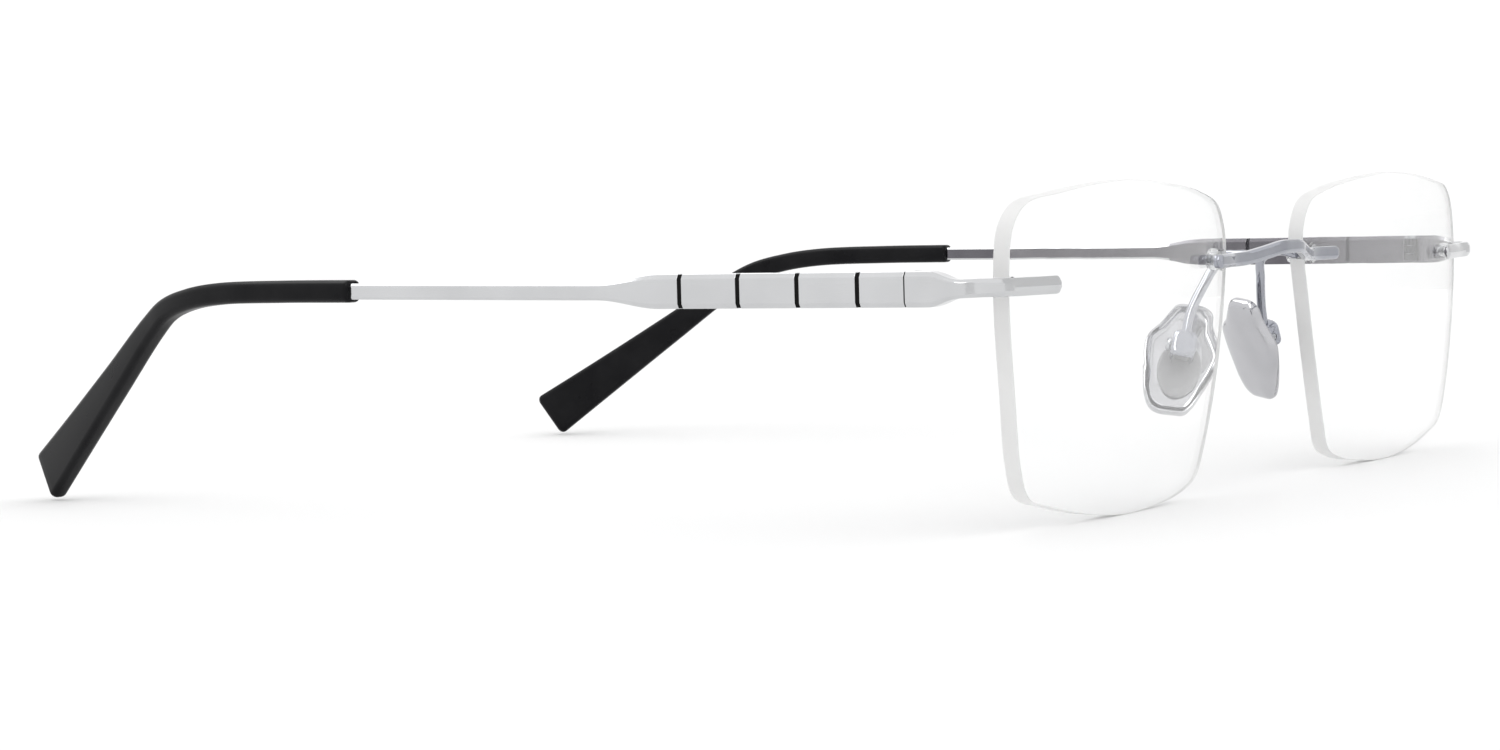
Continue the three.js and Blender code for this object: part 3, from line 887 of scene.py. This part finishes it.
def temple_tip(name, side):
    """The black sleeve: a small lip at its mouth, a flare to its rounded end, and a socket."""
    tail = [1 - TIP_END * (1 - math.sin(math.pi / 2 * i / 7)) for i in range(8)]
    first, last = TIP_LIP[-1], 1 - TIP_END
    shares = [*TIP_LIP, *[first + (last - first) * s for s in even(80)[1:-1]], *tail]
    outlines = []
    for t in shares:
        wide = mix(*TIP_WIDE, t)
        flare = max(0, (t - FLARE_START) / (1 - FLARE_START)) ** 1.35
        tall = mix(*TIP_TALL, flare)
        over = max(0, (t - last) / TIP_END)
        drawn_in = 1.6 * (1 - math.sqrt(max(0, 1 - over**2))) + 0.35 * (1 - min(1, t / 0.005)) ** 2
        outlines.append(pillow_section(wide - drawn_in, tall - drawn_in, 0.8))
    forward = Vector((0, 1, 0))
    socket = loft(
        [
            (Vector((72.4, TIP_START - 1, 26.2)), forward),
            (Vector((72.38, TIP_START + 2.5, 26.2)), forward),
        ],
        [bar_section(SLIM_THICK + 0.06, SLIM_TALL + 0.06, 0.14)] * 2,
    )
    piece(
        f"{name}_tip_sleeve", loft(stations(TIP_PATH, shares), outlines), side, BLACK,
        f"{name}_temple", [f"{name}_temple_tip"], cut=[socket],
    )


# ---- Studio ----

def flat_sheet(name, look_name, size, grain, colours, roughness):
    """A flat matt sheet at the origin, not yet in the scene."""
    material, tree, bsdf, coordinates = shader(look_name)
    finish_surface(tree, bsdf, noise(tree, coordinates, grain), colours, roughness)
    x, y = size[0] / 2, size[1] / 2
    mesh = bpy.data.meshes.new(name)
    mesh.from_pydata([(-x, -y, 0), (x, -y, 0), (x, y, 0), (-x, y, 0)], [], [(0, 1, 2, 3)])
    mesh.materials.append(material)
    return bpy.data.objects.new(name, mesh)


def put_on_set(thing):
    """Adds a thing that is no part of the eyeglasses."""
    bpy.context.scene.collection.objects.link(thing)


def aim(thing, place_at, target):
    """Puts a lamp or a card at one point, facing another."""
    thing.location = place_at
    thing.rotation_euler = (Vector(target) - Vector(place_at)).to_track_quat("-Z", "Y").to_euler()


def floor():
    pale = ((0.91, 0.91, 0.91), (0.93, 0.93, 0.93))
    put_on_set(flat_sheet("floor", "pale_floor", (24, 24), 3, pale, (0.85, 0.95)))


def soft_box(name, place_at, size, power):
    """A light that only adds highlights: the white room alone lights the floor."""
    light = bpy.data.lights.new(name, "AREA")
    light.shape = "RECTANGLE"
    light.size, light.size_y = size
    light.energy = power
    lamp = bpy.data.objects.new(name, light)
    aim(lamp, place_at, STUDIO_MIDDLE)
    lamp.visible_diffuse = False
    lamp.visible_camera = False
    bpy.context.scene.collection.objects.link(lamp)


def card(name, place_at, target, size, tone):
    """A grey card beside the set that shows only in reflections, as in studio photographs of metal."""
    thing = flat_sheet(name, name, size, 4, ((tone,) * 3, (tone * 1.1,) * 3), (0.9, 1))
    aim(thing, place_at, target)
    thing.visible_camera = False
    thing.visible_diffuse = False
    thing.visible_transmission = False
    thing.visible_shadow = False
    put_on_set(thing)


def white_room():
    """A world that glows white all round, a little brighter overhead."""
    world = bpy.data.worlds.new("studio")
    world.use_nodes = True
    tree = world.node_tree
    directions = tree.nodes.new("ShaderNodeTexCoord")
    axes = tree.nodes.new("ShaderNodeSeparateXYZ")
    rise = tree.nodes.new("ShaderNodeMapRange")
    rise.inputs["From Min"].default_value = 0.1
    rise.inputs["From Max"].default_value = 0.8
    rise.inputs["To Min"].default_value, rise.inputs["To Max"].default_value = ROOM_GLOW
    tree.links.new(directions.outputs["Generated"], axes.inputs["Vector"])
    tree.links.new(axes.outputs["Z"], rise.inputs["Value"])
    tree.links.new(rise.outputs["Result"], tree.nodes["Background"].inputs["Strength"])
    tree.nodes["Background"].inputs["Color"].default_value = (1, 1, 1, 1)
    bpy.context.scene.world = world


def studio():
    """The room, its soft boxes and cards, and a view transform that keeps white white."""
    white_room()
    for box in SOFT_BOXES:
        soft_box(*box)
    for one in CARDS:
        card(*one)
    bpy.context.scene.view_settings.view_transform = "Standard"
    bpy.context.scene.view_settings.look = "None"


def camera():
    view = bpy.data.cameras.new("camera")
    view.lens = CAMERA_LENS
    view.sensor_width = 36
    view.clip_start = 0.01
    view.clip_end = 50
    eye = bpy.data.objects.new("camera", view)
    back = Vector((
        math.sin(CAMERA_AZIMUTH) * math.cos(CAMERA_ELEVATION),
        -math.cos(CAMERA_AZIMUTH) * math.cos(CAMERA_ELEVATION),
        math.sin(CAMERA_ELEVATION),
    ))
    turn = (-back).to_track_quat("-Z", "Y").to_matrix() @ Matrix.Rotation(CAMERA_ROLL, 3, "Z")
    eye.rotation_euler = turn.to_euler()
    eye.location = CAMERA_PLACE
    bpy.context.scene.collection.objects.link(eye)
    bpy.context.scene.camera = eye


# ---- Assembly ----

def mirrored_half(name, side, bar_depth):
    """One side of the eyeglasses: side is -1 for the wearer's right and 1 for the left."""
    lens(name, side)
    bushing(f"{name}_bridge", PIN_INSET, FIXING_HEIGHT, 1.25, side)
    bushing(f"{name}_endpiece", LENS_WIDTH - PIN_INSET, LUG_HEIGHT, 0.9, side)
    pin_end = LENS_THICKNESS + FIT_GAP + WASHER_THICKNESS + 0.4
    for label, out, rise, start, end, material, slot in (
        ("bridge_pin", PIN_INSET, FIXING_HEIGHT, bar_depth, pin_end, POLISHED_PAINTED_DARK, "polished_metal"),
        ("bridge_prong", 0, FIXING_HEIGHT, bar_depth, LENS_THICKNESS, POLISHED_PAINTED_DARK, "polished_metal"),
        ("lug_pin", LENS_WIDTH - PIN_INSET, LUG_HEIGHT, LUG_MIDDLE, pin_end, SILVER, "silver_metal"),
        ("lug_prong", LENS_WIDTH, LUG_HEIGHT, LUG_MIDDLE, LENS_THICKNESS, SILVER, "silver_metal"),
    ):
        pin(f"{name}_{label}", out, rise, start, end, side, material)
    pad_arm(name, side)
    pad_box(name, side)
    pad_screw(name, side)
    pad_core(name, side)
    nose_pad(name, side)
    endpiece(name, side)
    hinge(name, side)
    hinge_screw(name, side)
    temple(name, side)
    slot_strips(name, side)
    temple_tip(name, side)


camera()
studio()
floor()
depth_of_bar = bridge()
mirrored_half("right", -1, depth_of_bar)
mirrored_half("left", 1, depth_of_bar)
